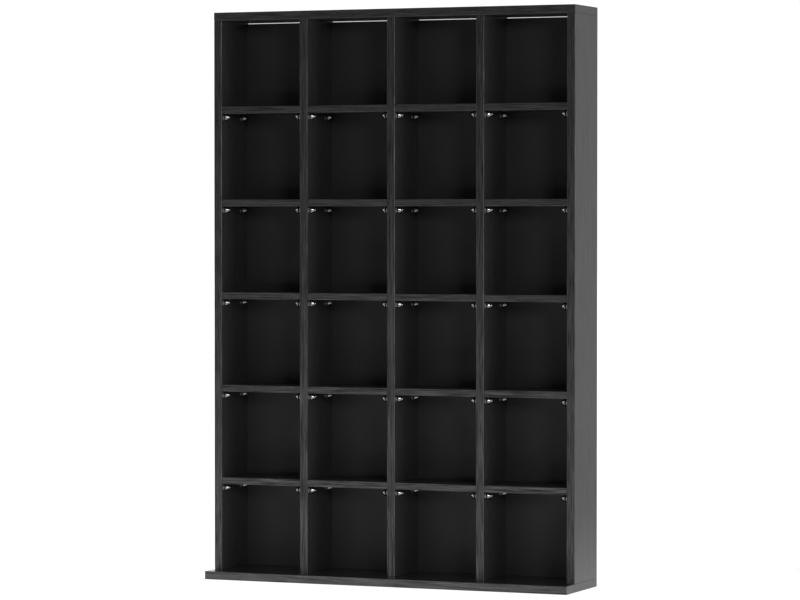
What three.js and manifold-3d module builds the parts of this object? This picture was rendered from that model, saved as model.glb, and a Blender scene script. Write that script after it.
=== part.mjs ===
// A free-standing media tower of black wood-grain board: four columns of six open compartments.
// Lengths are millimetres, with +X to the right, -Y to the front and +Z up.
// The origin is the middle of the base board's underside.
import * as THREE from "three";
import { mergeVertices } from "three/addons/utils/BufferGeometryUtils.js";
import Module from "manifold-3d";

const wasm = await Module();
wasm.setup();

// Compartments
const columnCount = 4;
const rowCount = 6;
const clearWidth = 200;
const clearHeight = 200;

// Boards
const sideThickness = 19;
const dividerThickness = 19;
const baseThickness = 19;
const topThickness = 19;
const shelfThickness = 16;
const carcassDepth = 148;
const baseProjection = 52;
const edgeRadius = 1.2;
const seamGap = 0.3;

// Thin backs, one to a column, pushed down in grooves from above
const backThickness = 3;
const backRearMargin = 5;
const backTopSlit = 1.2;
const grooveDepth = 5;
const backSidePlay = 0.5;
const fitGap = 0.3;

// Loose shelves
const shelfSidePlay = 0.5;
const shelfFrontInset = 1;
const shelfRearPlay = 1;
const shelfRestGap = 0.3;

// Shelf supports: a wall collar, a waist, a ring that carries the shelf, a tapered nose and a blunt tip
const supportFrontInset = 11;
const supportSpacing = 96;
const collarRadius = 8;
const collarLength = 3.4;
const waistRadius = 5.8;
const waistLength = 2.2;
const ringRadius = 8.2;
const ringLength = 3;
const noseRadius = 4.2;
const noseLength = 8;
const tipLength = 1.4;
const supportRootDepth = 1.5;
const supportSides = 8;

// Glued dowels between the uprights and the top board
const dowelRadius = 4;
const dowelLength = 30;
const dowelInTop = 11;
const dowelChamfer = 1;

// Countersunk screws from below, through the base board into the uprights
const screwLength = 50;
const screwShankRadius = 2.5;
const screwTipLength = 4;
const screwTipRadius = 0.8;
const screwHeadRadius = 5;
const screwHeadHeight = 3;
const screwHeadRecess = 0.6;
const socketRadius = 2.2;
const socketDepth = 2;
const socketSides = 6;

// Both kinds of fastener stand in the middle of the upright's thickness
const fastenerFrontInset = 30;
const fastenerRearInset = 112;
const fastenerSides = 10;
const boreEndPlay = 1;

// How far a cutting shape runs past the face that it cuts
const overrun = 1;
// Corners that are nearer to each other than this are one corner
const weldDistance = 0.0005;
const arcSegments = 3;

// Finishes
const boardColour = 0x2f2e2d;
const boardRoughness = 0.42;
const backColour = 0x1b1b1c;
const backRoughness = 0.7;
const dowelColour = 0xc9a877;
const dowelRoughness = 0.8;
const screwColour = 0xb9b9b6;
const screwRoughness = 0.35;

// Sizes that follow
const half = 1 / 2;
const quarterTurn = Math.PI * half;
const dividerCount = columnCount - 1;
const innerWidth = columnCount * clearWidth + dividerCount * dividerThickness;
const towerWidth = innerWidth + sideThickness + sideThickness;
const baseDepth = carcassDepth + baseProjection;
const carcassFront = baseProjection - baseDepth * half;
const levelPitch = clearHeight + shelfThickness;
const innerHeight = rowCount * levelPitch - shelfThickness;
const uprightHeight = innerHeight - seamGap - seamGap;
const footHeight = baseThickness + seamGap;
const topHeight = baseThickness + innerHeight;
const grooveWidth = backThickness + fitGap + fitGap;
const grooveFront = carcassDepth - backRearMargin - backThickness - fitGap;
const grooveRear = grooveFront + grooveWidth;
const shelfDepth = grooveFront + fitGap - shelfFrontInset - shelfRearPlay;
const supportDrop = ringRadius + shelfRestGap;
const supportInsets = [supportFrontInset, supportFrontInset + supportSpacing];
const screwBoreRadius = screwShankRadius + fitGap;
const screwInUpright = screwHeadRecess + screwLength - footHeight;
const dowelInUpright = dowelLength - dowelInTop - seamGap;
const dowelBoreRadius = dowelRadius + fitGap;

// Middle of each column, left to right
const columnMiddles = [];
for (let column = 0; column < columnCount; column += 1) {
  const left = column * (clearWidth + dividerThickness) - innerWidth * half;
  columnMiddles.push(left + clearWidth * half);
}

// Every upright: its name, its middle, its thickness and the sides on which a column lies
const uprights = [
  {
    name: "left_side",
    middle: -(innerWidth + sideThickness) * half,
    thickness: sideThickness,
    openSides: [1],
  },
  {
    name: "right_side",
    middle: (innerWidth + sideThickness) * half,
    thickness: sideThickness,
    openSides: [-1],
  },
];
for (let divider = 1; divider <= dividerCount; divider += 1) {
  uprights.push({
    name: "divider_" + divider,
    middle: columnMiddles[divider - 1] + (clearWidth + dividerThickness) * half,
    thickness: dividerThickness,
    openSides: [-1, 1],
  });
}
const fastenerInsets = { front: fastenerFrontInset, rear: fastenerRearInset };

// Heights of the shelves' undersides, from the lowest to the highest
const shelfUndersides = [];
for (let level = 1; level < rowCount; level += 1) {
  shelfUndersides.push(baseThickness + level * levelPitch - shelfThickness);
}

// A closed geometry as a solid that can be joined and cut
function solidOf(geometry) {
  const loose = geometry.index ? geometry.toNonIndexed() : geometry.clone();
  loose.deleteAttribute("normal");
  loose.deleteAttribute("uv");
  const welded = mergeVertices(loose, weldDistance);
  const corners = welded.index.array;
  const faces = [];
  for (let first = 0; first < corners.length; first += 3) {
    const [a, b, c] = corners.slice(first, first + 3);
    const hasArea = a !== b && b !== c && c !== a;
    if (hasArea) {
      faces.push(a, b, c);
    }
  }
  return new wasm.Manifold(
    new wasm.Mesh({
      numProp: 3,
      vertProperties: welded.attributes.position.array,
      triVerts: new Uint32Array(faces),
    }),
  );
}

// A solid back as a geometry with flat faces
function geometryOf(solid) {
  const mesh = solid.getMesh();
  const indexed = new THREE.BufferGeometry();
  indexed.setAttribute("position", new THREE.BufferAttribute(mesh.vertProperties, 3));
  indexed.setIndex(new THREE.BufferAttribute(mesh.triVerts, 1));
  const faceted = indexed.toNonIndexed();
  faceted.computeVertexNormals();
  return faceted;
}

// An outline pulled to a length along its own normal
function pulled(outline, length) {
  return new THREE.ExtrudeGeometry(outline, {
    depth: length,
    bevelEnabled: false,
    curveSegments: arcSegments,
  });
}

// A half outline of radius and height pairs, turned about +Z, from the axis back to the axis
function turned(pairs, sides) {
  const outline = pairs.map(([radius, height]) => new THREE.Vector2(radius, height));
  return new THREE.LatheGeometry(outline, sides).rotateX(quarterTurn);
}

// Cross-section of a lying board: depth along x, thickness along y, both front edges rounded
function lyingOutline(depth, thickness) {
  const outline = new THREE.Shape();
  outline.moveTo(depth, 0);
  outline.lineTo(depth, thickness);
  outline.lineTo(edgeRadius, thickness);
  outline.absarc(edgeRadius, thickness - edgeRadius, edgeRadius, quarterTurn, Math.PI);
  outline.lineTo(0, edgeRadius);
  outline.absarc(edgeRadius, edgeRadius, edgeRadius, Math.PI, Math.PI + quarterTurn);
  outline.closePath();
  return outline;
}

// A lying board with its middle at x 0, its front at y 0 and its underside at z 0
function lyingBoard(width, depth, thickness) {
  const alongY = new THREE.Vector3(0, 1, 0);
  const alongZ = new THREE.Vector3(0, 0, 1);
  const alongX = new THREE.Vector3(1, 0, 0);
  const laidDown = new THREE.Matrix4().makeBasis(alongY, alongZ, alongX);
  return pulled(lyingOutline(depth, thickness), width)
    .applyMatrix4(laidDown)
    .translate(-width * half, 0, 0);
}

// A plain box with its middle at x 0, its front at y 0 and its underside at z 0
function plainBox(width, depth, height) {
  return new THREE.BoxGeometry(width, depth, height).translate(0, depth * half, height * half);
}

// Cross-section of an upright, seen from above, with a groove for the back on each open side
function uprightOutline(thickness, openSides) {
  const edge = thickness * half;
  const outline = new THREE.Shape();
  outline.moveTo(edgeRadius - edge, 0);
  outline.lineTo(edge - edgeRadius, 0);
  outline.absarc(edge - edgeRadius, edgeRadius, edgeRadius, -quarterTurn, 0);
  if (openSides.includes(1)) {
    outline.lineTo(edge, grooveFront);
    outline.lineTo(edge - grooveDepth, grooveFront);
    outline.lineTo(edge - grooveDepth, grooveRear);
    outline.lineTo(edge, grooveRear);
  }
  outline.lineTo(edge, carcassDepth);
  outline.lineTo(-edge, carcassDepth);
  if (openSides.includes(-1)) {
    outline.lineTo(-edge, grooveRear);
    outline.lineTo(grooveDepth - edge, grooveRear);
    outline.lineTo(grooveDepth - edge, grooveFront);
    outline.lineTo(-edge, grooveFront);
  }
  outline.lineTo(-edge, edgeRadius);
  outline.absarc(edgeRadius - edge, edgeRadius, edgeRadius, Math.PI, Math.PI + quarterTurn);
  return outline;
}

// A shelf support that stands out of a wall at x 0 towards +X or -X, with its root in the wall
function supportGeometry(direction) {
  const ringStart = collarLength + waistLength;
  const ringEnd = ringStart + ringLength;
  const noseEnd = ringEnd + noseLength;
  const profile = [
    [0, -supportRootDepth],
    [collarRadius, -supportRootDepth],
    [collarRadius, collarLength],
    [waistRadius, collarLength + waistLength * half],
    [ringRadius, ringStart],
    [ringRadius, ringEnd],
    [noseRadius, noseEnd],
    [0, noseEnd + tipLength],
  ];
  return turned(profile, supportSides).rotateY(direction * quarterTurn);
}

// Straight bore along Z from a face at height 0, cut to a depth above it
function boreAbove(radius, depth) {
  const profile = [
    [0, -overrun],
    [radius, -overrun],
    [radius, depth],
    [0, depth],
  ];
  return turned(profile, fastenerSides);
}

// An upright with its supports, its dowel bores in the top end and its screw bores in the foot
function uprightSolid({ thickness, openSides }) {
  let upright = solidOf(pulled(uprightOutline(thickness, openSides), uprightHeight));
  for (const side of openSides) {
    const support = solidOf(supportGeometry(side).translate(side * thickness * half, 0, 0));
    for (const underside of shelfUndersides) {
      const height = underside - supportDrop - footHeight;
      for (const inset of supportInsets) {
        upright = upright.add(support.translate([0, inset, height]));
      }
    }
  }
  const screwBore = solidOf(boreAbove(screwBoreRadius, screwInUpright + boreEndPlay));
  const dowelBoreDepth = dowelInUpright + fitGap;
  const dowelBore = solidOf(boreAbove(dowelBoreRadius, dowelBoreDepth + overrun));
  for (const inset of Object.values(fastenerInsets)) {
    upright = upright.subtract(screwBore.translate([0, inset, 0]));
    upright = upright.subtract(dowelBore.translate([0, inset, uprightHeight - dowelBoreDepth]));
  }
  return upright;
}

// The base board, with a stopped groove for the backs and a countersunk hole for each screw
function baseSolid() {
  let base = solidOf(lyingBoard(towerWidth, baseDepth, baseThickness));
  const grooveLength = innerWidth + grooveDepth * 2;
  const groove = solidOf(plainBox(grooveLength, grooveWidth, grooveDepth + overrun));
  const grooveBottom = baseThickness - grooveDepth;
  base = base.subtract(groove.translate([0, baseProjection + grooveFront, grooveBottom]));
  const coneTop = screwHeadRecess + screwHeadHeight;
  const openRadius = screwHeadRadius + fitGap;
  const profile = [
    [0, -overrun],
    [openRadius, -overrun],
    [openRadius, screwHeadRecess],
    [screwBoreRadius, coneTop],
    [screwBoreRadius, baseThickness + overrun],
    [0, baseThickness + overrun],
  ];
  const hole = solidOf(turned(profile, fastenerSides));
  for (const { middle } of uprights) {
    for (const inset of Object.values(fastenerInsets)) {
      base = base.subtract(hole.translate([middle, baseProjection + inset, 0]));
    }
  }
  return base;
}

// The top board, with a blind bore for each dowel
function topSolid() {
  let top = solidOf(lyingBoard(towerWidth, carcassDepth, topThickness));
  const bore = solidOf(boreAbove(dowelBoreRadius, dowelInTop + fitGap));
  for (const { middle } of uprights) {
    for (const inset of Object.values(fastenerInsets)) {
      top = top.subtract(bore.translate([middle, inset, 0]));
    }
  }
  return top;
}

// A screw that points up, with its head's face at height 0 and a six-sided socket in it
function screwSolid() {
  const profile = [
    [0, 0],
    [screwHeadRadius, 0],
    [screwShankRadius, screwHeadHeight],
    [screwShankRadius, screwLength - screwTipLength],
    [screwTipRadius, screwLength],
    [0, screwLength],
  ];
  const socketProfile = [
    [0, -overrun],
    [socketRadius, -overrun],
    [socketRadius, socketDepth],
    [0, socketDepth],
  ];
  const socket = solidOf(turned(socketProfile, socketSides));
  return solidOf(turned(profile, fastenerSides)).subtract(socket);
}

// A dowel that stands on height 0, with both ends chamfered
function dowelSolid() {
  const profile = [
    [0, 0],
    [dowelRadius - dowelChamfer, 0],
    [dowelRadius, dowelChamfer],
    [dowelRadius, dowelLength - dowelChamfer],
    [dowelRadius - dowelChamfer, dowelLength],
    [0, dowelLength],
  ];
  return solidOf(turned(profile, fastenerSides));
}

// A named piece in its own finish
function piece(name, solid, colour, roughness, metalness = 0) {
  const material = new THREE.MeshStandardMaterial({ color: colour, roughness, metalness });
  const mesh = new THREE.Mesh(geometryOf(solid), material);
  mesh.name = name;
  return mesh;
}

const tower = new THREE.Group();

const base = piece("base_board", baseSolid(), boardColour, boardRoughness);
base.position.set(0, carcassFront - baseProjection, 0);
tower.add(base);

const top = piece("top_board", topSolid(), boardColour, boardRoughness);
top.position.set(0, carcassFront, topHeight);
tower.add(top);

for (const upright of uprights) {
  const board = piece(upright.name, uprightSolid(upright), boardColour, boardRoughness);
  board.position.set(upright.middle, carcassFront, footHeight);
  tower.add(board);
  for (const [place, inset] of Object.entries(fastenerInsets)) {
    const depth = carcassFront + inset;
    const screwName = "screw_" + upright.name + "_" + place;
    const screw = piece(screwName, screwSolid(), screwColour, screwRoughness, 1);
    screw.position.set(upright.middle, depth, screwHeadRecess);
    tower.add(screw);
    const dowelName = "dowel_" + upright.name + "_" + place;
    const dowel = piece(dowelName, dowelSolid(), dowelColour, dowelRoughness);
    dowel.position.set(upright.middle, depth, topHeight + dowelInTop - dowelLength);
    tower.add(dowel);
  }
}

const backWidth = clearWidth + (grooveDepth - backSidePlay) * 2;
const backFoot = baseThickness - grooveDepth + fitGap;
const backHeight = topHeight - backTopSlit - backFoot;
const backSolid = solidOf(plainBox(backWidth, backThickness, backHeight));
const shelfWidth = clearWidth - shelfSidePlay * 2;
const shelfSolid = solidOf(lyingBoard(shelfWidth, shelfDepth, shelfThickness));
columnMiddles.forEach((middle, index) => {
  const column = new THREE.Group();
  column.position.set(middle, carcassFront, 0);
  const columnName = "column_" + (index + 1);
  const back = piece("back_" + columnName, backSolid, backColour, backRoughness);
  back.position.set(0, grooveFront + fitGap, backFoot);
  column.add(back);
  shelfUndersides.forEach((underside, level) => {
    const name = "shelf_" + columnName + "_level_" + (level + 1);
    const shelf = piece(name, shelfSolid, boardColour, boardRoughness);
    shelf.position.set(0, shelfFrontInset, underside);
    column.add(shelf);
  });
  tower.add(column);
});

export default tower;
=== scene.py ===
"""Looks of a free-standing media tower of black wood-grain board.

Four columns of six open compartments stand on a base board that steps out at the front.
Everything is in metres, with +X to the right, -Y to the front and +Z up.
"""

import math

import bmesh
import bpy
import numpy as np
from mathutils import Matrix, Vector


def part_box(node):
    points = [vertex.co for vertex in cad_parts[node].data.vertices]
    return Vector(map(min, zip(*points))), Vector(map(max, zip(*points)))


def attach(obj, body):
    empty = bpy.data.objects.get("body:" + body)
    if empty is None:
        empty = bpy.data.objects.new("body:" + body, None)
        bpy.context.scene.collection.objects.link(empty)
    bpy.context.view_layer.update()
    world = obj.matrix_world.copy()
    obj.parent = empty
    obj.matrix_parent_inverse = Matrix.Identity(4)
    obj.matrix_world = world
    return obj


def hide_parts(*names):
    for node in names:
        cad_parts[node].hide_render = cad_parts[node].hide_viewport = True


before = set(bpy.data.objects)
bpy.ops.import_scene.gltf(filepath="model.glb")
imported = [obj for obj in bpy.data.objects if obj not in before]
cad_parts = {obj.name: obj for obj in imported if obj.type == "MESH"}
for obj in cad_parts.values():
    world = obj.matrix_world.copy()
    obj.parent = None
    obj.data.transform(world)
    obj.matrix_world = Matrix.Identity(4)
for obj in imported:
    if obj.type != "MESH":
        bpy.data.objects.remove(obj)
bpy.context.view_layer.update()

MM = 0.001
QUARTER = math.pi / 2
FULL_TURN = 2 * math.pi
X, Y, Z = range(3)
WHITE = (1.0, 1.0, 1.0, 1.0)

# Camera, fitted to the board edges of the photograph
CAMERA_PLACE = (3.2033, -7.5940, 0.8521)
CAMERA_AZIMUTH = math.radians(22.854)
CAMERA_TILT_DOWN = math.radians(1.394)
CAMERA_LENS_MM = 161.41
CAMERA_SENSOR_MM = 36.0
CAMERA_REACH = 100.0

# Lights: name, degrees from the front to the right, distance, height, size of the panel and watts
MAIN_LIGHT = "main_light"
STUDIO_LIGHTS = (
    (MAIN_LIGHT, 38, 12.0, 2.7, (2.4, 1.8), 335.0),
    ("low_front", -23, 3.6, 0.15, (2.4, 0.25), 5.1),
    ("low_near", -23, 1.8, 0.10, (2.0, 0.15), 1.6),
    ("left_fill", -75, 8.0, 1.4, (3.0, 1.8), 40.0),
    ("right_low", 80, 8.0, 1.2, (3.0, 1.6), 175.0),
)
LIGHT_TARGET = (0.0, 0.0, 0.6)

# Surroundings: each lobe is the direction of its middle, degrees from there to its rim, and a strength
SKY_DIM = 0.10
SKY_LOBES = (
    ((-0.39, 0.92, 0.05), 50, 0.95),
    ((0.50, 0.85, 0.05), 50, 0.30),
    ((-1.0, 0.0, 0.15), 60, 0.30),
    ((1.0, 0.0, 0.15), 60, 0.20),
    ((0.0, 0.0, 1.0), 60, 0.25),
)
LOBE_CORE = 0.25

# Floor: each step of its glow is a span over y, and how much the glow or its loss grows across that span
FLOOR_REACH = 40.0
FLOOR_COLOUR = (0.87, 0.87, 0.87, 1.0)
FLOOR_ROUGHNESS = 0.8
FLOOR_SHEEN = 0.2
GLOW_STEPS = (((-0.95, -0.75), 1.1), ((-0.6, -0.4), -0.24), ((0.1, 0.4), -0.03))
GLOW_RIGHT_OVER_X = (0.6, 1.0)
GLOW_RIGHT_LOSSES = (((0.3, 0.8), 0.92), ((2.0, 3.0), -0.42))

# Boards
COLUMNS = 4
SHELF_LEVELS = 5
FRONT_ROUND = 1.2 * MM
REAR_ROUND = 0.4 * MM
END_ROUND = 0.35 * MM
BAND_THICKNESS = 0.9 * MM
GLUE_LINE_WIDTH = 0.14 * MM
GLUE_LINE_DEPTH = 0.10 * MM
SEAM_GAP = 0.3 * MM
FIT_GAP = 0.3 * MM
GROOVE_DEPTH = 5 * MM
SHELF_SIDE_PLAY = 0.5 * MM
BACK_SKIN = 0.1 * MM

# Shelf supports
SUPPORT_INSETS = (11 * MM, 107 * MM)
SUPPORT_REST_GAP = 0.3 * MM
SUPPORT_ROOT = 1.5 * MM
SUPPORT_LENGTH = 18.0 * MM
COLLAR_RADIUS = 8.0 * MM
COLLAR_LENGTH = 3.4 * MM
COLLAR_ROUND = 0.7 * MM
WAIST_RADIUS = 5.8 * MM
WAIST_LENGTH = 3.2 * MM
WAIST_SAG_POWER = 0.8
RING_RADIUS = 8.2 * MM
RING_ROUND = 0.7 * MM
RING_CREST = 0.7 * MM
NOSE_FALLS = ((1, 5.05 * MM), (2, 1.25 * MM), (8, 1.88 * MM))

# Screws under the base
SCREW_SHANK_RADIUS = 2.5 * MM
SCREW_HEAD_RADIUS = 5.0 * MM
SCREW_HEAD_HEIGHT = 3.0 * MM
SCREW_HEAD_RIM = 0.5 * MM
SCREW_RECESS = 0.6 * MM
SCREW_TIP_LENGTH = 4.0 * MM
SCREW_TIP_RADIUS = 0.8 * MM
THREAD_DEPTH = 0.45 * MM
THREAD_PITCH = 2.2 * MM
THREAD_RIDGE_SHARE = 0.5
SOCKET_RADIUS = 2.2 * MM
SOCKET_DEPTH = 2.0 * MM

# Fineness of the meshes
TOUCHING = 1e-7
SHARP_FROM = math.radians(35)
CORNER_STEPS = 6
ROUND_POINTS = 5
WAIST_POINTS = 11
NOSE_POINTS = 22
THREAD_ROWS = 110
SUPPORT_SEGMENTS = 36
SCREW_SEGMENTS = 30
POLE_SHARE = 0.02

# Slots of a board's materials after the first one, of its faces, and how far to the side an end has to look
REAR_EDGE = 1
FRONT_BAND = 2
BOARD_END = 3
END_SIDEWAYS = 0.7

# Numbers that shift the grain from board to board
BASE_GRAIN = 1
TOP_GRAIN = 2
LEFT_GRAIN = 3
RIGHT_GRAIN = 4
SHELF_GRAIN = 10
GRAIN_AXES = {"x": (X, Y, Z), "z": (Z, X, Y)}
INDEX_STEP = 12.9898
SALT_STEP = 78.233
NUMBER_SPREAD = 43758.5453

# Finishes: a scale is repeats in a metre on each axis, a ramp's rows are a position and a grey or a colour
FIGURE_SCALE = (2.5, 60.0, 60.0)
STREAK_SCALE = (14.0, 560.0, 560.0)
PORE_SCALE = (40.0, 1500.0, 1500.0)
FIGURE_SHARE = 0.10
STREAK_SHARE = 0.64
PORE_SHARE = 0.26
DARK_TONE = 0.38
LIGHT_TONE = 0.62
GRAIN_BUMP = 0.6
# Paler black for the front radius: partly the trimmed band's own colour, partly a painted highlight of the
# rounded edge
PALE_EDGE_PAINTED_HIGHLIGHT = (0.048, 0.047, 0.046, 1.0)
EDGE_HIGHLIGHT_SHARE = 0.8
LAMINATE_IOR = 1.5
CHIP_SCALE = (260.0, 260.0, 520.0)
CHIP_BROWNS = ((0.0, (0.16, 0.105, 0.06)), (0.5, (0.27, 0.185, 0.11)), (1.0, (0.38, 0.28, 0.175)))
CHIP_ROUGHNESS = 0.85
PIT_SCALE = (900.0, 900.0, 900.0)
PIT_SHARES = ((0.36, 0.75), (0.5, 0.0))
PIT_BROWN = (0.07, 0.045, 0.028, 1.0)
PIT_DEPTH = 0.4 * MM
PIT_BUMP = 0.6
LACQUER_CLOUD_SCALE = (9.0, 9.0, 9.0)
LACQUER_BLACKS = ((0.3, (0.0100, 0.0100, 0.0106)), (0.7, (0.0145, 0.0145, 0.0153)))
LACQUER_ROUGHNESS = ((0.3, 0.58), (0.7, 0.70))
PEEL_SCALE = (420.0, 420.0, 420.0)
PEEL_DEPTH = 0.08 * MM
PEEL_BUMP = 0.5
FIBRE_SCALE = (500.0, 500.0, 160.0)
FIBRE_SHARE = 0.6
FIBRE_CLOUD_SCALE = (14.0, 14.0, 14.0)
FIBRE_CLOUD_SHARE = 0.4
FIBRE_BROWNS = ((0.35, (0.075, 0.042, 0.022)), (0.65, (0.135, 0.08, 0.043)))
FIBRE_ROUGHNESS = 0.78
SCREEN_SCALE = 240.0
SCREEN_DEPTH = 0.2 * MM
SCREEN_BUMP = 0.5
HAZE_SCALE = (700.0, 700.0, 700.0)
CHROME_BRIGHT = ((0.3, (0.20, 0.20, 0.203)), (0.7, (0.24, 0.24, 0.243)))
CHROME_DULL = ((0.3, (0.14, 0.14, 0.142)), (0.7, (0.20, 0.20, 0.202)))
CHROME_ROUGHNESS = ((0.3, 0.08), (0.7, 0.13))
SATIN_ROUGHNESS = 0.5
# Painted shade in a support's waist: the ramp over neck, and the dark that it mixes in
NECK_SHADE_SHARES = ((0.1, 0.0), (0.6, 0.9))
NECK_PAINTED_SHADE = (0.02, 0.02, 0.02, 1.0)
BLOTCH_SCALE = (500.0, 500.0, 500.0)
ZINC_GREYS = ((0.3, (0.48, 0.46, 0.40)), (0.7, (0.62, 0.61, 0.57)))
ZINC_ROUGHNESS = ((0.3, 0.28), (0.7, 0.42))
FLECK_SCALE = (1500.0, 1500.0, 120.0)
BEECH_BROWNS = ((0.35, (0.46, 0.30, 0.17)), (0.65, (0.62, 0.45, 0.28)))
BEECH_ROUGHNESS = 0.6

# Sockets of a node that mixes two colours
MIX_FACTOR = 0
MIX_FIRST = 6
MIX_SECOND = 7
MIX_RESULT = 2


def number(index, salt):
    """A repeatable number from 0 to 1 for a piece's index and a salt."""
    return math.modf(math.sin(index * INDEX_STEP + salt * SALT_STEP) * NUMBER_SPREAD)[0] % 1.0


# Meshes


def add_object(name, data):
    """A new object in the scene that shows a mesh, a light or a camera."""
    added = bpy.data.objects.new(name, data)
    bpy.context.scene.collection.objects.link(added)
    return added


def shade_mesh(mesh):
    """Shades a mesh smoothly, apart from the edges where its faces turn sharply."""
    mesh.shade_smooth()
    mesh.set_sharp_from_angle(angle=SHARP_FROM)


def mesh_object(name, vertices, faces):
    """A closed mesh object at the origin, with its normals turned outwards."""
    mesh = bpy.data.meshes.new(name)
    mesh.from_pydata(np.asarray(vertices, float).tolist(), [], [list(map(int, face)) for face in faces])
    work = bmesh.new()
    work.from_mesh(mesh)
    bmesh.ops.remove_doubles(work, verts=work.verts, dist=TOUCHING)
    bmesh.ops.recalc_face_normals(work, faces=work.faces)
    work.to_mesh(mesh)
    work.free()
    shade_mesh(mesh)
    return add_object(name, mesh)


def read_rows(items, what):
    """The positions of a mesh's vertices, or the middles or normals of its faces, as an array of rows."""
    flat = np.empty(len(items) * 3)
    items.foreach_get(what, flat)
    return flat.reshape(-1, 3)


def swept(rings):
    """Quads between closed rings, an array of ring by point by axis, with a flat cap at each end."""
    ring_count, point_count, _ = rings.shape
    here = np.arange(point_count)
    after = np.roll(here, -1)
    last = (ring_count - 1) * point_count
    faces = []
    for low in range(0, last, point_count):
        high = low + point_count
        faces.extend(np.stack([low + here, low + after, high + after, high + here], 1))
    faces.append(here[::-1])
    faces.append(last + here)
    return rings.reshape(-1, 3), faces


def arc(centre, radius, start, stop):
    """Points on a circle round a centre, from one angle to another, both ends included."""
    angles = np.linspace(start, stop, CORNER_STEPS + 1)
    return np.stack([centre[0] + radius * np.cos(angles), centre[1] + radius * np.sin(angles)], 1)


def glue_line(front):
    """Depths of the three points of the notch behind a front band, and how far each dips into the board."""
    start = front + FRONT_ROUND + BAND_THICKNESS
    depths = start + np.array([0.0, 0.5, 1.0]) * GLUE_LINE_WIDTH
    dips = np.array([0.0, 1.0, 0.0]) * GLUE_LINE_DEPTH
    return depths, dips


def board_section(depth_span, height_span, inset):
    """Cross-section of a board: depth first, height second, drawn in by the inset all round.

    The two front corners are quarter circles of the front radius and the two rear ones of the rear radius.
    A small notch behind the front band on both faces is the glue line.
    """
    front, rear = depth_span
    low, high = height_span
    corners = [
        ((front + FRONT_ROUND, low + FRONT_ROUND), FRONT_ROUND, math.pi, math.pi + QUARTER),
        ((rear - REAR_ROUND, low + REAR_ROUND), REAR_ROUND, -QUARTER, 0.0),
        ((rear - REAR_ROUND, high - REAR_ROUND), REAR_ROUND, 0.0, QUARTER),
        ((front + FRONT_ROUND, high - FRONT_ROUND), FRONT_ROUND, QUARTER, math.pi),
    ]
    arcs = [arc(centre, radius - inset, start, stop) for centre, radius, start, stop in corners]
    depths, dips = glue_line(front)
    low_notch = np.stack([depths, low + inset + dips], 1)
    high_notch = np.stack([depths[::-1], high - inset - dips], 1)
    return np.concatenate([arcs[0], low_notch, arcs[1], arcs[2], high_notch, arcs[3]])


def lying_board(name, low, high):
    """A lying board: its section is carried along X, and drawn in along a quarter circle at both ends."""
    turns = np.linspace(0.0, QUARTER, ROUND_POINTS)
    margins = END_ROUND * (1 - np.sin(turns))
    insets = END_ROUND * (1 - np.cos(turns))
    places = np.concatenate([low[X] + margins[::-1], high[X] - margins])
    rings = []
    for place, inset in zip(places, np.concatenate([insets[::-1], insets])):
        section = board_section((low[Y], high[Y]), (low[Z], high[Z]), inset)
        rings.append(np.column_stack([np.full(len(section), place), section]))
    return mesh_object(name, *swept(np.array(rings)))


def upright_section(left, right, front, rear, grooves, groove_span):
    """Cross-section of an upright seen from above, with rounded corners and a groove for each back."""
    depths, dips = glue_line(front)
    groove_dips = np.array([0.0, GROOVE_DEPTH, GROOVE_DEPTH, 0.0])
    groove_depths = np.repeat(groove_span, 2)
    points = [
        arc((left + FRONT_ROUND, front + FRONT_ROUND), FRONT_ROUND, math.pi, math.pi + QUARTER),
        arc((right - FRONT_ROUND, front + FRONT_ROUND), FRONT_ROUND, -QUARTER, 0.0),
        np.stack([right - dips, depths], 1),
    ]
    if "right" in grooves:
        points.append(np.stack([right - groove_dips, groove_depths], 1))
    points.append(arc((right - REAR_ROUND, rear - REAR_ROUND), REAR_ROUND, 0.0, QUARTER))
    points.append(arc((left + REAR_ROUND, rear - REAR_ROUND), REAR_ROUND, QUARTER, math.pi))
    if "left" in grooves:
        points.append(np.stack([left + groove_dips, groove_depths[::-1]], 1))
    points.append(np.stack([left + dips, depths[::-1]], 1))
    return np.concatenate(points)


def raised(name, section, heights):
    """An upright piece: its section, seen from above, carried from one height to the next."""
    rings = [np.column_stack([section, np.full(len(section), height)]) for height in heights]
    return mesh_object(name, *swept(np.array(rings)))


def turned(name, radii, heights, base, direction, segments):
    """A surface turned about an axis. Radii and heights run along its profile, or over its angles too.

    A row's point at an angle lies at base + direction * height + radius * (cos angle, sin angle) across it.
    """
    radii = np.asarray(radii, float)
    heights = np.asarray(heights, float)
    angles = np.arange(segments) * (FULL_TURN / segments)
    if radii.ndim == 1:
        radii = np.repeat(radii[:, None], segments, 1)
    if heights.ndim == 1:
        heights = np.repeat(heights[:, None], segments, 1)
    along = np.asarray(direction, float)
    up = np.array([0.0, 1.0, 0.0]) if along[Z] else np.array([0.0, 0.0, 1.0])
    side = np.cross(along, up)
    rings = (
        np.asarray(base, float)
        + heights[..., None] * along
        + (radii * np.cos(angles))[..., None] * up
        + (radii * np.sin(angles))[..., None] * side
    )
    return mesh_object(name, *swept(rings))


def cut(piece, cutters):
    """Takes the cutters out of a piece with an exact boolean, then deletes them."""
    for cutter in cutters:
        modifier = piece.modifiers.new("cut", "BOOLEAN")
        modifier.operation = "DIFFERENCE"
        modifier.solver = "EXACT"
        modifier.object = cutter
    bpy.context.view_layer.update()
    evaluated = piece.evaluated_get(bpy.context.evaluated_depsgraph_get())
    mesh = bpy.data.meshes.new_from_object(evaluated)
    piece.modifiers.clear()
    piece.data = mesh
    for cutter in cutters:
        bpy.data.objects.remove(cutter)
    shade_mesh(mesh)


def shade_evenly(piece):
    """Weights the shading by the faces' areas, so that a flat face is lit as flat up to its rounded edges."""
    modifier = piece.modifiers.new("even_shading", "WEIGHTED_NORMAL")
    modifier.keep_sharp = True


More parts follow.
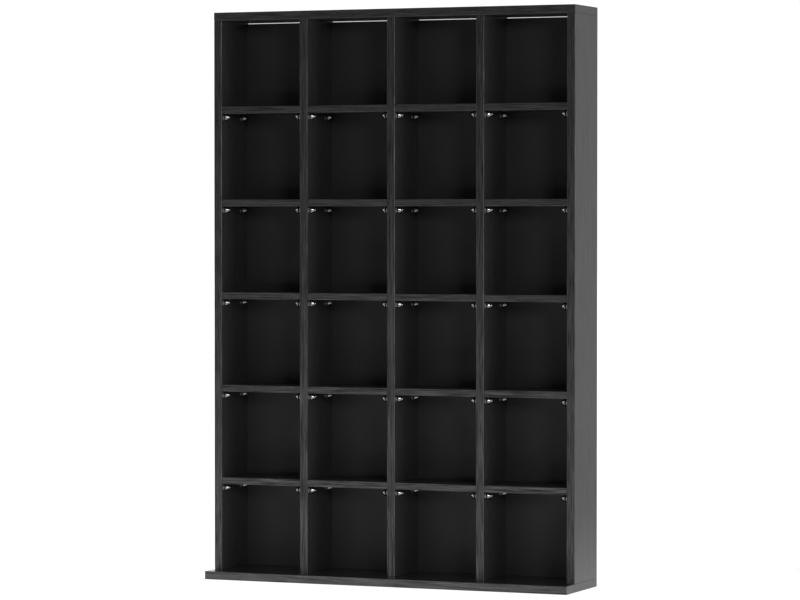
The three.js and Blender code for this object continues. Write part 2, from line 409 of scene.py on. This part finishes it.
def finish_piece(piece, body, materials, replaced=()):
    """Gives a piece its materials and its body, and hides the CAD nodes that it stands for."""
    for material in materials:
        piece.data.materials.append(material)
    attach(piece, body)
    if replaced:
        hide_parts(*replaced)


def store_numbers(piece, name, numbers):
    """Stores a point attribute of one number for each point, which a material reads."""
    attribute = piece.data.attributes.new(name, "FLOAT", "POINT")
    attribute.data.foreach_set("value", numbers.astype(np.float32))


def mark_grain(piece, along, index):
    """Stores the point attribute grain: metres along the grain, across it and into the board, and a shift."""
    places = read_rows(piece.data.vertices, "co")
    shift = np.array([number(index, salt) for salt in (1, 2, 3)])
    grain = (places[:, GRAIN_AXES[along]] + shift).astype(np.float32)
    attribute = piece.data.attributes.new("grain", "FLOAT_VECTOR", "POINT")
    attribute.data.foreach_set("vector", grain.ravel())


def mark_front_edges(piece, front, flat_axis, faces):
    """Stores the point attribute edge: 1 on the two front radii of a board, and 0 on its two flat faces.

    The value follows how far a point lies round the quarter circle, as 1 - |2 a - 1| for a from 0 to 1.
    """
    places = read_rows(piece.data.vertices, "co")
    value = np.zeros(len(places))
    back = front + FRONT_ROUND - places[:, Y]
    for face in faces:
        inward = FRONT_ROUND - np.abs(places[:, flat_axis] - face)
        near = (back > -TOUCHING) & (inward > -TOUCHING)
        share = np.arctan2(np.clip(inward, 0.0, None), np.clip(back, 0.0, None)) / QUARTER
        value = np.maximum(value, np.where(near, 1.0 - np.abs(2.0 * share - 1.0), 0.0))
    store_numbers(piece, "edge", value)


def mark_faces(piece, front, rear, ends=()):
    """Gives a board's rear edge and front band their own materials, and the ends that are given theirs."""
    middles = read_rows(piece.data.polygons, "center")
    normals = read_rows(piece.data.polygons, "normal")
    slots = np.zeros(len(middles), np.int32)
    slots[middles[:, Y] > rear - REAR_ROUND / 2] = REAR_EDGE
    slots[middles[:, Y] < front + FRONT_ROUND + BAND_THICKNESS] = FRONT_BAND
    for end in ends:
        at_end = np.abs(middles[:, X] - end) < END_ROUND
        slots[at_end & (np.abs(normals[:, X]) > END_SIDEWAYS)] = BOARD_END
    piece.data.polygons.foreach_set("material_index", slots)


# Materials


class Nodes:
    """Adds and links shader nodes in a material or a world."""

    def __init__(self, home, shader="Principled BSDF"):
        self.home = home
        self.home.use_nodes = True
        self.tree = home.node_tree
        self.shader = self.tree.nodes[shader]

    def add(self, kind, inputs=None, **settings):
        """A node with its settings, whose inputs are numbers, colours or other nodes' sockets."""
        node = self.tree.nodes.new(kind)
        for key, value in settings.items():
            setattr(node, key, value)
        self.feed(node, inputs or {})
        return node

    def feed(self, node, inputs):
        """Links each input's socket, or sets a plain value on it."""
        for key, value in inputs.items():
            if isinstance(value, bpy.types.NodeSocket):
                self.tree.links.new(value, node.inputs[key])
            else:
                node.inputs[key].default_value = value

    def object_place(self):
        """Where a point lies, in metres."""
        return self.add("ShaderNodeTexCoord").outputs["Object"]

    def attribute(self, name, output="Fac"):
        """A point attribute of the piece."""
        return self.add("ShaderNodeAttribute", attribute_name=name).outputs[output]

    def ramp(self, factor, stops):
        """A colour ramp over a factor. Each stop is a position and a grey level or a colour."""
        node = self.add("ShaderNodeValToRGB", {"Fac": factor})
        elements = node.color_ramp.elements
        while len(elements) < len(stops):
            elements.new(0.5)
        for element, (position, level) in zip(elements, stops):
            element.position = position
            colour = (level, level, level) if isinstance(level, float) else level
            element.color = (*colour, 1.0)
        return node.outputs["Color"]

    def stretched(self, source, scale):
        """A source of coordinates with each axis scaled by itself."""
        return self.add("ShaderNodeMapping", {"Vector": source, "Scale": scale}).outputs["Vector"]

    def noise(self, source, scale, detail, roughness=0.55, distortion=0.0):
        """The factor of a noise over a source of coordinates, with each axis scaled by itself."""
        inputs = {
            "Vector": self.stretched(source, scale),
            "Scale": 1.0,
            "Detail": detail,
            "Roughness": roughness,
            "Distortion": distortion,
        }
        return self.add("ShaderNodeTexNoise", inputs).outputs["Fac"]

    def maths(self, operation, first, second):
        """One arithmetic step on two values."""
        return self.add("ShaderNodeMath", {0: first, 1: second}, operation=operation).outputs[0]

    def weighted(self, *parts):
        """A sum of values, each times its share."""
        total = self.maths("MULTIPLY", *parts[0])
        for value, share in parts[1:]:
            total = self.maths("ADD", total, self.maths("MULTIPLY", value, share))
        return total

    def smooth_step(self, value, span, level):
        """A smooth rise from 0 to a level while a value runs over a span."""
        inputs = {"Value": value, "From Min": span[0], "From Max": span[1], "To Min": 0.0, "To Max": level}
        return self.add("ShaderNodeMapRange", inputs, interpolation_type="SMOOTHSTEP").outputs["Result"]

    def mix(self, factor, first, second):
        """Two colours mixed by a factor."""
        inputs = {MIX_FACTOR: factor, MIX_FIRST: first, MIX_SECOND: second}
        return self.add("ShaderNodeMix", inputs, data_type="RGBA").outputs[MIX_RESULT]

    def bump(self, height, distance, strength):
        """A bump from a height field, as a normal."""
        inputs = {"Height": height, "Distance": distance, "Strength": strength}
        return self.add("ShaderNodeBump", inputs).outputs["Normal"]


def laminate(name, dark, light, gloss, sheen, relief):
    """Black printed laminate: long streaks and short pores along the grain, and a gloss that follows them.

    The gloss and the sheen are each a low and a high level, of the roughness and of the mirror strength.
    The attribute edge is 1 along the front band's radius, painted paler: partly the trimmed band, partly a
    painted highlight.
    """
    m = Nodes(bpy.data.materials.new(name))
    grain = m.attribute("grain", "Vector")
    edge = m.attribute("edge")
    figure = m.noise(grain, FIGURE_SCALE, detail=2.0, distortion=1.0)
    streaks = m.noise(grain, STREAK_SCALE, detail=2.0, roughness=0.6)
    pores = m.noise(grain, PORE_SCALE, detail=3.0, roughness=0.6)
    tone = m.weighted((streaks, STREAK_SHARE), (pores, PORE_SHARE), (figure, FIGURE_SHARE))
    printed = m.ramp(tone, ((DARK_TONE, dark), (LIGHT_TONE, light)))
    m.feed(m.shader, {
        # The front radius is painted paler: partly the trimmed band, partly a painted highlight
        "Base Color": m.mix(m.maths("MULTIPLY", edge, EDGE_HIGHLIGHT_SHARE), printed, PALE_EDGE_PAINTED_HIGHLIGHT),
        "Roughness": m.ramp(tone, ((DARK_TONE, gloss[1]), (LIGHT_TONE, gloss[0]))),
        "Specular IOR Level": m.ramp(tone, ((DARK_TONE, sheen[0]), (LIGHT_TONE, sheen[1]))),
        "Normal": m.bump(tone, relief, GRAIN_BUMP),
        "IOR": LAMINATE_IOR,
    })
    return m.home


def chipboard(name):
    """Raw pressed chips of the rear edges: small flakes of several browns with dark pits between them."""
    m = Nodes(bpy.data.materials.new(name))
    place = m.object_place()
    cells = m.add("ShaderNodeTexVoronoi", {"Vector": m.stretched(place, CHIP_SCALE), "Scale": 1.0})
    pits = m.noise(place, PIT_SCALE, detail=3.0)
    chip = m.add("ShaderNodeSeparateColor", {"Color": cells.outputs["Color"]}).outputs[0]
    m.feed(m.shader, {
        "Base Color": m.mix(m.ramp(pits, PIT_SHARES), m.ramp(chip, CHIP_BROWNS), PIT_BROWN),
        "Roughness": CHIP_ROUGHNESS,
        "Normal": m.bump(pits, PIT_DEPTH, PIT_BUMP),
    })
    return m.home


def painted_hardboard(name):
    """Front of a back sheet: smooth black lacquer with a faint orange peel."""
    m = Nodes(bpy.data.materials.new(name))
    place = m.object_place()
    clouds = m.noise(place, LACQUER_CLOUD_SCALE, detail=3.0)
    peel = m.noise(place, PEEL_SCALE, detail=2.0)
    m.feed(m.shader, {
        "Base Color": m.ramp(clouds, LACQUER_BLACKS),
        "Roughness": m.ramp(clouds, LACQUER_ROUGHNESS),
        "Normal": m.bump(peel, PEEL_DEPTH, PEEL_BUMP),
    })
    return m.home


def raw_hardboard(name):
    """Rear of a back sheet: brown pressed fibre with the print of a fine wire screen."""
    m = Nodes(bpy.data.materials.new(name))
    place = m.object_place()
    fibres = m.noise(place, FIBRE_SCALE, detail=5.0, roughness=0.7)
    clouds = m.noise(place, FIBRE_CLOUD_SCALE, detail=2.0)
    tone = m.weighted((fibres, FIBRE_SHARE), (clouds, FIBRE_CLOUD_SHARE))
    wires = {"Vector": place, "Scale": SCREEN_SCALE}
    across = m.add("ShaderNodeTexWave", wires, bands_direction="X").outputs["Fac"]
    upward = m.add("ShaderNodeTexWave", wires, bands_direction="Z").outputs["Fac"]
    screen = m.maths("MULTIPLY", across, upward)
    m.feed(m.shader, {
        "Base Color": m.ramp(tone, FIBRE_BROWNS),
        "Roughness": FIBRE_ROUGHNESS,
        "Normal": m.bump(m.maths("ADD", screen, fibres), SCREEN_DEPTH, SCREEN_BUMP),
    })
    return m.home


def polished_chrome(name):
    """Bright plating with a faint haze, brushed where the attribute satin is 1, painted shade where neck is
    1.
    """
    m = Nodes(bpy.data.materials.new(name))
    haze = m.noise(m.object_place(), HAZE_SCALE, detail=2.0)
    satin = m.attribute("satin")
    # The neck's painted shade: the chrome is darkened towards the middle of the waist
    thin = m.ramp(m.attribute("neck"), NECK_SHADE_SHARES)
    plating = m.mix(satin, m.ramp(haze, CHROME_BRIGHT), m.ramp(haze, CHROME_DULL))
    brushed = m.maths("MULTIPLY", satin, SATIN_ROUGHNESS)
    m.feed(m.shader, {
        "Metallic": 1.0,
        "Base Color": m.mix(thin, plating, NECK_PAINTED_SHADE),
        "Roughness": m.maths("MAXIMUM", m.ramp(haze, CHROME_ROUGHNESS), brushed),
    })
    return m.home


def zinc_plate(name):
    """Zinc-plated screw steel, slightly yellow and blotched."""
    m = Nodes(bpy.data.materials.new(name))
    blotches = m.noise(m.object_place(), BLOTCH_SCALE, detail=3.0)
    m.feed(m.shader, {
        "Metallic": 1.0,
        "Base Color": m.ramp(blotches, ZINC_GREYS),
        "Roughness": m.ramp(blotches, ZINC_ROUGHNESS),
    })
    return m.home


def beech(name):
    """Pale beech of the dowels, with fine vertical flecks."""
    m = Nodes(bpy.data.materials.new(name))
    flecks = m.noise(m.object_place(), FLECK_SCALE, detail=3.0)
    m.feed(m.shader, {"Base Color": m.ramp(flecks, BEECH_BROWNS), "Roughness": BEECH_ROUGHNESS})
    return m.home


BAND = laminate(
    "black_wood_grain_band",
    dark=(0.006, 0.0059, 0.0058),
    light=(0.027, 0.0265, 0.0262),
    gloss=(0.32, 0.48),
    sheen=(0.15, 0.85),
    relief=0.12 * MM,
)
# A lighter copy of the band laminate for the fronts of the top and the shelves: its lighter print is painted
# light
LYING_BAND_PAINTED_LIGHTER = laminate(
    "black_wood_grain_band_lying_painted_lighter",
    dark=(0.0075, 0.0074, 0.0073),
    light=(0.034, 0.0334, 0.033),
    gloss=(0.32, 0.48),
    sheen=(0.15, 0.85),
    relief=0.12 * MM,
)
FACE = laminate(
    "black_wood_grain_face",
    dark=(0.0205, 0.0205, 0.0211),
    light=(0.0295, 0.0295, 0.0305),
    gloss=(0.345, 0.415),
    sheen=(0.43, 0.57),
    relief=0.028 * MM,
)
# A glossier copy of the band laminate for the base's front; its lighter print is painted light
BASE_BAND_PAINTED_LIGHTER = laminate(
    "black_wood_grain_base_band_painted_lighter",
    dark=(0.0085, 0.0083, 0.0082),
    light=(0.033, 0.0323, 0.0320),
    gloss=(0.2, 0.34),
    sheen=(0.3, 0.9),
    relief=0.10 * MM,
)
BASE_FACE = laminate(
    "black_wood_grain_base_face",
    dark=(0.0195, 0.0195, 0.0201),
    light=(0.0285, 0.0285, 0.0294),
    gloss=(0.10, 0.16),
    sheen=(0.42, 0.58),
    relief=0.02 * MM,
)
CHIPS = chipboard("raw_chipboard")
BACK_FRONT = painted_hardboard("black_lacquered_back")
BACK_REAR = raw_hardboard("brown_hardboard")
CHROME = polished_chrome("polished_chrome")
ZINC = zinc_plate("zinc_plate")
BEECH = beech("beech_dowel")

# Places read from the frame, with the two inner faces beside each column
base_low, base_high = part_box("base_board")
top_low, top_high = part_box("top_board")
left_low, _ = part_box("left_side")
_, right_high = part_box("right_side")
back_low, back_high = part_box("back_column_1")
groove_span = (back_low[Y] - FIT_GAP, back_high[Y] + FIT_GAP)
carcass_front = top_low[Y]
carcass_rear = top_high[Y]
walls = []
for column in range(1, COLUMNS + 1):
    shelf_low, shelf_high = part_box(f"shelf_column_{column}_level_1")
    walls.append((shelf_low[X] - SHELF_SIDE_PLAY, shelf_high[X] + SHELF_SIDE_PLAY))


# Carcass


def screw_places():
    """Each screw's node, the middle of its head and its length, from the frame."""
    places = []
    for name in sorted(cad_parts):
        if name.startswith("screw_"):
            low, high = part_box(name)
            head = ((low[X] + high[X]) / 2, (low[Y] + high[Y]) / 2, low[Z])
            places.append((name, head, high[Z] - low[Z]))
    return places


def make_base():
    """Base board with a stopped groove for the backs and a countersunk hole for each screw."""
    base = lying_board("base_panel", base_low, base_high)
    inner = (walls[0][0] - GROOVE_DEPTH, walls[-1][1] + GROOVE_DEPTH)
    depths = (back_low[Z] - FIT_GAP, base_high[Z] + GROOVE_DEPTH)
    corners = [(x, y, z) for x in inner for y in groove_span for z in depths]
    sides = [(0, 1, 3, 2), (4, 6, 7, 5), (0, 4, 5, 1), (2, 3, 7, 6), (0, 2, 6, 4), (1, 5, 7, 3)]
    cutters = [mesh_object("groove_cutter", corners, sides)]
    open_radius = SCREW_HEAD_RADIUS + FIT_GAP
    bore = SCREW_SHANK_RADIUS + FIT_GAP
    radii = [open_radius, open_radius, bore, bore]
    heights = [-SCREW_RECESS, SCREW_RECESS, SCREW_RECESS + SCREW_HEAD_HEIGHT, base_high[Z] + SCREW_RECESS]
    for _, (x, y, _), _ in screw_places():
        cutters.append(turned("hole_cutter", radii, heights, (x, y, 0.0), (0, 0, 1), 2 * SCREW_SEGMENTS))
    cut(base, cutters)
    mark_faces(base, base_low[Y], base_high[Y], (base_low[X], base_high[X]))
    mark_grain(base, "x", BASE_GRAIN)
    mark_front_edges(base, base_low[Y], Z, (base_low[Z], base_high[Z]))
    shade_evenly(base)
    finish_piece(base, "carcass", [BASE_FACE, CHIPS, BASE_BAND_PAINTED_LIGHTER, FACE], ["base_board"])


def finish_lying(board, low, high, index, body, node):
    """The marks, the shading and the materials of the top board or of a shelf."""
    mark_faces(board, low[Y], high[Y])
    mark_grain(board, "x", index)
    mark_front_edges(board, low[Y], Z, (low[Z], high[Z]))
    shade_evenly(board)
    finish_piece(board, body, [FACE, CHIPS, LYING_BAND_PAINTED_LIGHTER], [node])


def make_top():
    """Top board, which lies over the sides."""
    top = lying_board("top_panel", top_low, top_high)
    finish_lying(top, top_low, top_high, TOP_GRAIN, "carcass", "top_board")


def make_upright(name, node, left, right, grooves, index):
    """One side or divider: its section from above, carried up from the foot to the top end."""
    section = upright_section(left, right, carcass_front, carcass_rear, grooves, groove_span)
    upright = raised(name, section, (base_high[Z] + SEAM_GAP, top_low[Z] - SEAM_GAP))
    mark_faces(upright, carcass_front, carcass_rear)
    mark_grain(upright, "z", index)
    mark_front_edges(upright, carcass_front, X, (left, right))
    shade_evenly(upright)
    finish_piece(upright, "carcass", [FACE, CHIPS, BAND], [node])


def make_back(column):
    """One thin back: lacquered in front, bare at the rear."""
    node = f"back_column_{column}"
    low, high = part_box(node)
    section = np.array([(low[X], low[Y]), (high[X], low[Y]), (high[X], high[Y]), (low[X], high[Y])])
    back = raised(f"back_sheet_{column}", section, (low[Z], high[Z]))
    is_bare = read_rows(back.data.polygons, "center")[:, Y] > low[Y] + BACK_SKIN
    back.data.polygons.foreach_set("material_index", is_bare.astype(np.int32))
    shade_evenly(back)
    finish_piece(back, "carcass", [BACK_FRONT, BACK_REAR], [node])


def make_screw(name, head, length):
    """A countersunk screw: head, helical thread and tip, with a six-sided socket in the head.

    The thread adds a triangle wave of height over pitch minus angle over a full turn to the shank's radius.
    """
    angles = np.arange(SCREW_SEGMENTS) * (FULL_TURN / SCREW_SEGMENTS)
    sextant = FULL_TURN / 6
    hexagon = SOCKET_RADIUS * math.cos(sextant / 2) / np.cos((angles % sextant) - sextant / 2)
    whole = np.ones(SCREW_SEGMENTS)
    rows = [
        (hexagon * POLE_SHARE, SOCKET_DEPTH),
        (hexagon, SOCKET_DEPTH),
        (hexagon, 0.0),
        (whole * SCREW_HEAD_RADIUS, 0.0),
        (whole * SCREW_HEAD_RADIUS, SCREW_HEAD_RIM),
        (whole * SCREW_SHANK_RADIUS, SCREW_HEAD_HEIGHT),
    ]
    thread_start = SCREW_HEAD_HEIGHT + THREAD_PITCH
    thread_end = length - SCREW_TIP_LENGTH
    for height in np.linspace(thread_start, thread_end, THREAD_ROWS):
        phase = (height / THREAD_PITCH - angles / FULL_TURN) % 1.0
        ridge = np.clip(1.0 - np.abs(phase - 0.5) * 2 / THREAD_RIDGE_SHARE, 0.0, 1.0)
        fade = min(1.0, (height - thread_start) / THREAD_PITCH, (thread_end - height) / THREAD_PITCH)
        rows.append((SCREW_SHANK_RADIUS - THREAD_DEPTH + THREAD_DEPTH * ridge * fade, height))
    rows.append((whole * SCREW_TIP_RADIUS, length))
    radii, heights = zip(*rows)
    screw = turned("zinc_" + name, radii, heights, head, (0, 0, 1), SCREW_SEGMENTS)
    finish_piece(screw, "carcass", [ZINC], [name])


make_base()
make_top()
make_upright("left_panel", "left_side", left_low[X], walls[0][0], ("right",), LEFT_GRAIN)
make_upright("right_panel", "right_side", walls[-1][1], right_high[X], ("left",), RIGHT_GRAIN)
for column in range(1, COLUMNS):
    sides = (walls[column - 1][1], walls[column][0])
    name = f"divider_panel_{column}"
    make_upright(name, f"divider_{column}", *sides, ("left", "right"), RIGHT_GRAIN + column)
for column in range(1, COLUMNS + 1):
    make_back(column)
for screw_name, head_place, screw_length in screw_places():
    make_screw(screw_name, head_place, screw_length)
for name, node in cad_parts.items():
    if name.startswith("dowel_"):
        node.data.materials.clear()
        node.data.materials.append(BEECH)


# Shelves and their supports


def support_profile():
    """Radius and height along a support: root, rounded collar, waist, rounded ring and nose.

    The waist follows a power of a sine between the rims beside it. The nose's radius falls from the ring's
    by a sum of powers of the share of its length: nearly straight at first, then rounder to the blunt end.
    """
    turns = np.linspace(0.0, QUARTER, ROUND_POINTS)
    radii = [POLE_SHARE * COLLAR_RADIUS, COLLAR_RADIUS]
    heights = [-SUPPORT_ROOT, -SUPPORT_ROOT]
    collar_straight = COLLAR_LENGTH - COLLAR_ROUND
    radii += list(COLLAR_RADIUS - COLLAR_ROUND * (1 - np.cos(turns)))
    heights += list(collar_straight + COLLAR_ROUND * np.sin(turns))
    collar_rim = COLLAR_RADIUS - COLLAR_ROUND
    ring_rim = RING_RADIUS - RING_ROUND
    along = np.linspace(0.0, 1.0, WAIST_POINTS)[1:]
    sag = np.sin(np.pi * along) ** WAIST_SAG_POWER
    radii += list((collar_rim + (ring_rim - collar_rim) * along) * (1 - sag) + WAIST_RADIUS * sag)
    heights += list(COLLAR_LENGTH + WAIST_LENGTH * along)
    ring_start = COLLAR_LENGTH + WAIST_LENGTH
    radii += list(ring_rim + RING_ROUND * np.sin(turns[1:]))
    heights += list(ring_start + RING_ROUND * (1 - np.cos(turns[1:])))
    nose_start = ring_start + RING_ROUND + RING_CREST
    along = np.sin(np.linspace(0.0, QUARTER, NOSE_POINTS))
    radii += list(RING_RADIUS - sum(fall * along**power for power, fall in NOSE_FALLS))
    heights += list(nose_start + (SUPPORT_LENGTH - nose_start) * along)
    return np.array(radii), np.array(heights)


def mark_plating(piece, wall):
    """Stores two point attributes along a support, by the distance from its wall.

    satin is 1 from the wall to the collar's rim and falls to 0 within the waist. neck is 1 in the middle of
    the waist and falls to 0 at both its ends; it marks the painted shade in the waist's recess.
    """
    reach = np.abs(read_rows(piece.data.vertices, "co")[:, X] - wall)
    half = WAIST_LENGTH / 2
    satin = np.clip((COLLAR_LENGTH + WAIST_LENGTH - reach) / WAIST_LENGTH, 0.0, 1.0)
    neck = np.clip(1.0 - np.abs(reach - COLLAR_LENGTH - half) / half, 0.0, 1.0)
    store_numbers(piece, "satin", satin)
    store_numbers(piece, "neck", neck)


def make_supports(column, level, underside):
    """The four supports under one shelf, each plugged into the wall beside it."""
    radii, heights = support_profile()
    axis_height = underside - SUPPORT_REST_GAP - RING_RADIUS
    left_wall, right_wall = walls[column - 1]
    for side, wall, direction in (("left", left_wall, 1), ("right", right_wall, -1)):
        for place, inset in zip(("front", "rear"), SUPPORT_INSETS):
            name = f"support_{column}_{level}_{side}_{place}"
            base = (wall, carcass_front + inset, axis_height)
            support = turned(name, radii, heights, base, (direction, 0, 0), SUPPORT_SEGMENTS)
            mark_plating(support, wall)
            finish_piece(support, "carcass", [CHROME])


def make_shelf(column, level):
    """One loose shelf and the four supports that it lies on."""
    node = f"shelf_column_{column}_level_{level}"
    low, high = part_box(node)
    shelf = lying_board(f"shelf_panel_{column}_{level}", low, high)
    index = SHELF_GRAIN + column * SHELF_LEVELS + level
    finish_lying(shelf, low, high, index, f"shelf_{column}_{level}", node)
    make_supports(column, level, low[Z])


for column in range(1, COLUMNS + 1):
    for level in range(1, SHELF_LEVELS + 1):
        make_shelf(column, level)


# Studio


def lit_floor():
    """A pale sheet lit from below: its glow is a sum of smooth steps over y, so it has no visible edge.

    Behind the tower and to its right it is weaker, by one smooth step over x times such a sum over y.
    """
    m = Nodes(bpy.data.materials.new("lit_floor"))
    axes = m.add("ShaderNodeSeparateXYZ", {0: m.object_place()}).outputs

    def sum_over_y(steps):
        """The sum of the steps, each a span over y and a level."""
        total = 0.0
        for span, level in steps:
            total = m.maths("ADD", total, m.smooth_step(axes["Y"], span, level))
        return total

    to_the_right = m.smooth_step(axes["X"], GLOW_RIGHT_OVER_X, 1.0)
    loss = m.maths("MULTIPLY", to_the_right, sum_over_y(GLOW_RIGHT_LOSSES))
    m.feed(m.shader, {
        "Emission Strength": m.maths("MULTIPLY", sum_over_y(GLOW_STEPS), m.maths("SUBTRACT", 1.0, loss)),
        "Emission Color": WHITE,
        "Base Color": FLOOR_COLOUR,
        "Roughness": FLOOR_ROUGHNESS,
        "Specular IOR Level": FLOOR_SHEEN,
    })
    return m.home


def make_floor():
    """A plain level floor, far wider than the view."""
    reach = FLOOR_REACH
    corners = [(-reach, -reach, 0.0), (reach, -reach, 0.0), (reach, reach, 0.0), (-reach, reach, 0.0)]
    mesh = bpy.data.meshes.new("studio_floor")
    mesh.from_pydata(corners, [], [(0, 1, 2, 3)])
    floor = add_object("studio_floor", mesh)
    floor.data.materials.append(lit_floor())
    return floor


def make_surroundings():
    """A dim room with wide pale lobes: behind the tower, behind it to the right, on both sides and above.

    A lobe is a smooth step over the cosine between a direction and the lobe's middle.
    """
    world = bpy.data.worlds.new("studio")
    sky = Nodes(world, "Background")
    direction = sky.add("ShaderNodeTexCoord").outputs["Generated"]
    level = SKY_DIM
    for middle, half_angle, strength in SKY_LOBES:
        vectors = {0: direction, 1: Vector(middle).normalized()}
        cosine = sky.add("ShaderNodeVectorMath", vectors, operation="DOT_PRODUCT").outputs["Value"]
        rim = math.cos(math.radians(half_angle))
        core = math.cos(math.radians(half_angle * LOBE_CORE))
        level = sky.maths("ADD", level, sky.smooth_step(cosine, (rim, core), strength))
    sky.feed(sky.shader, {"Color": WHITE, "Strength": level})
    bpy.context.scene.world = world


def make_camera():
    """The camera at the photograph's angle and distance, level but for a slight downward tilt."""
    data = bpy.data.cameras.new("camera")
    data.lens = CAMERA_LENS_MM
    data.sensor_width = CAMERA_SENSOR_MM
    data.clip_end = CAMERA_REACH
    camera = add_object("camera", data)
    camera.location = CAMERA_PLACE
    camera.rotation_euler = (QUARTER - CAMERA_TILT_DOWN, 0.0, CAMERA_AZIMUTH)
    bpy.context.scene.camera = camera


def soft_light(name, azimuth, distance, height, size, power):
    """A rectangular area light at an azimuth from the front, turned to the middle of the tower."""
    data = bpy.data.lights.new(name, "AREA")
    data.shape = "RECTANGLE"
    data.size, data.size_y = size
    data.energy = power
    light = add_object(name, data)
    turn = math.radians(azimuth)
    place = Vector((distance * math.sin(turn), -distance * math.cos(turn), height))
    light.location = place
    light.rotation_euler = (place - Vector(LIGHT_TARGET)).to_track_quat("Z", "Y").to_euler()
    return light


def spare(light, piece):
    """Keeps a light off one piece."""
    spared = bpy.data.collections.new(light.name + "_spares")
    spared.objects.link(piece)
    spared.collection_objects[0].light_linking.link_state = "EXCLUDE"
    light.light_linking.receiver_collection = spared


floor = make_floor()
make_surroundings()
make_camera()
for settings in STUDIO_LIGHTS:
    light = soft_light(*settings)
    if settings[0] != MAIN_LIGHT:
        spare(light, floor)
bpy.context.scene.view_settings.view_transform = "Standard"
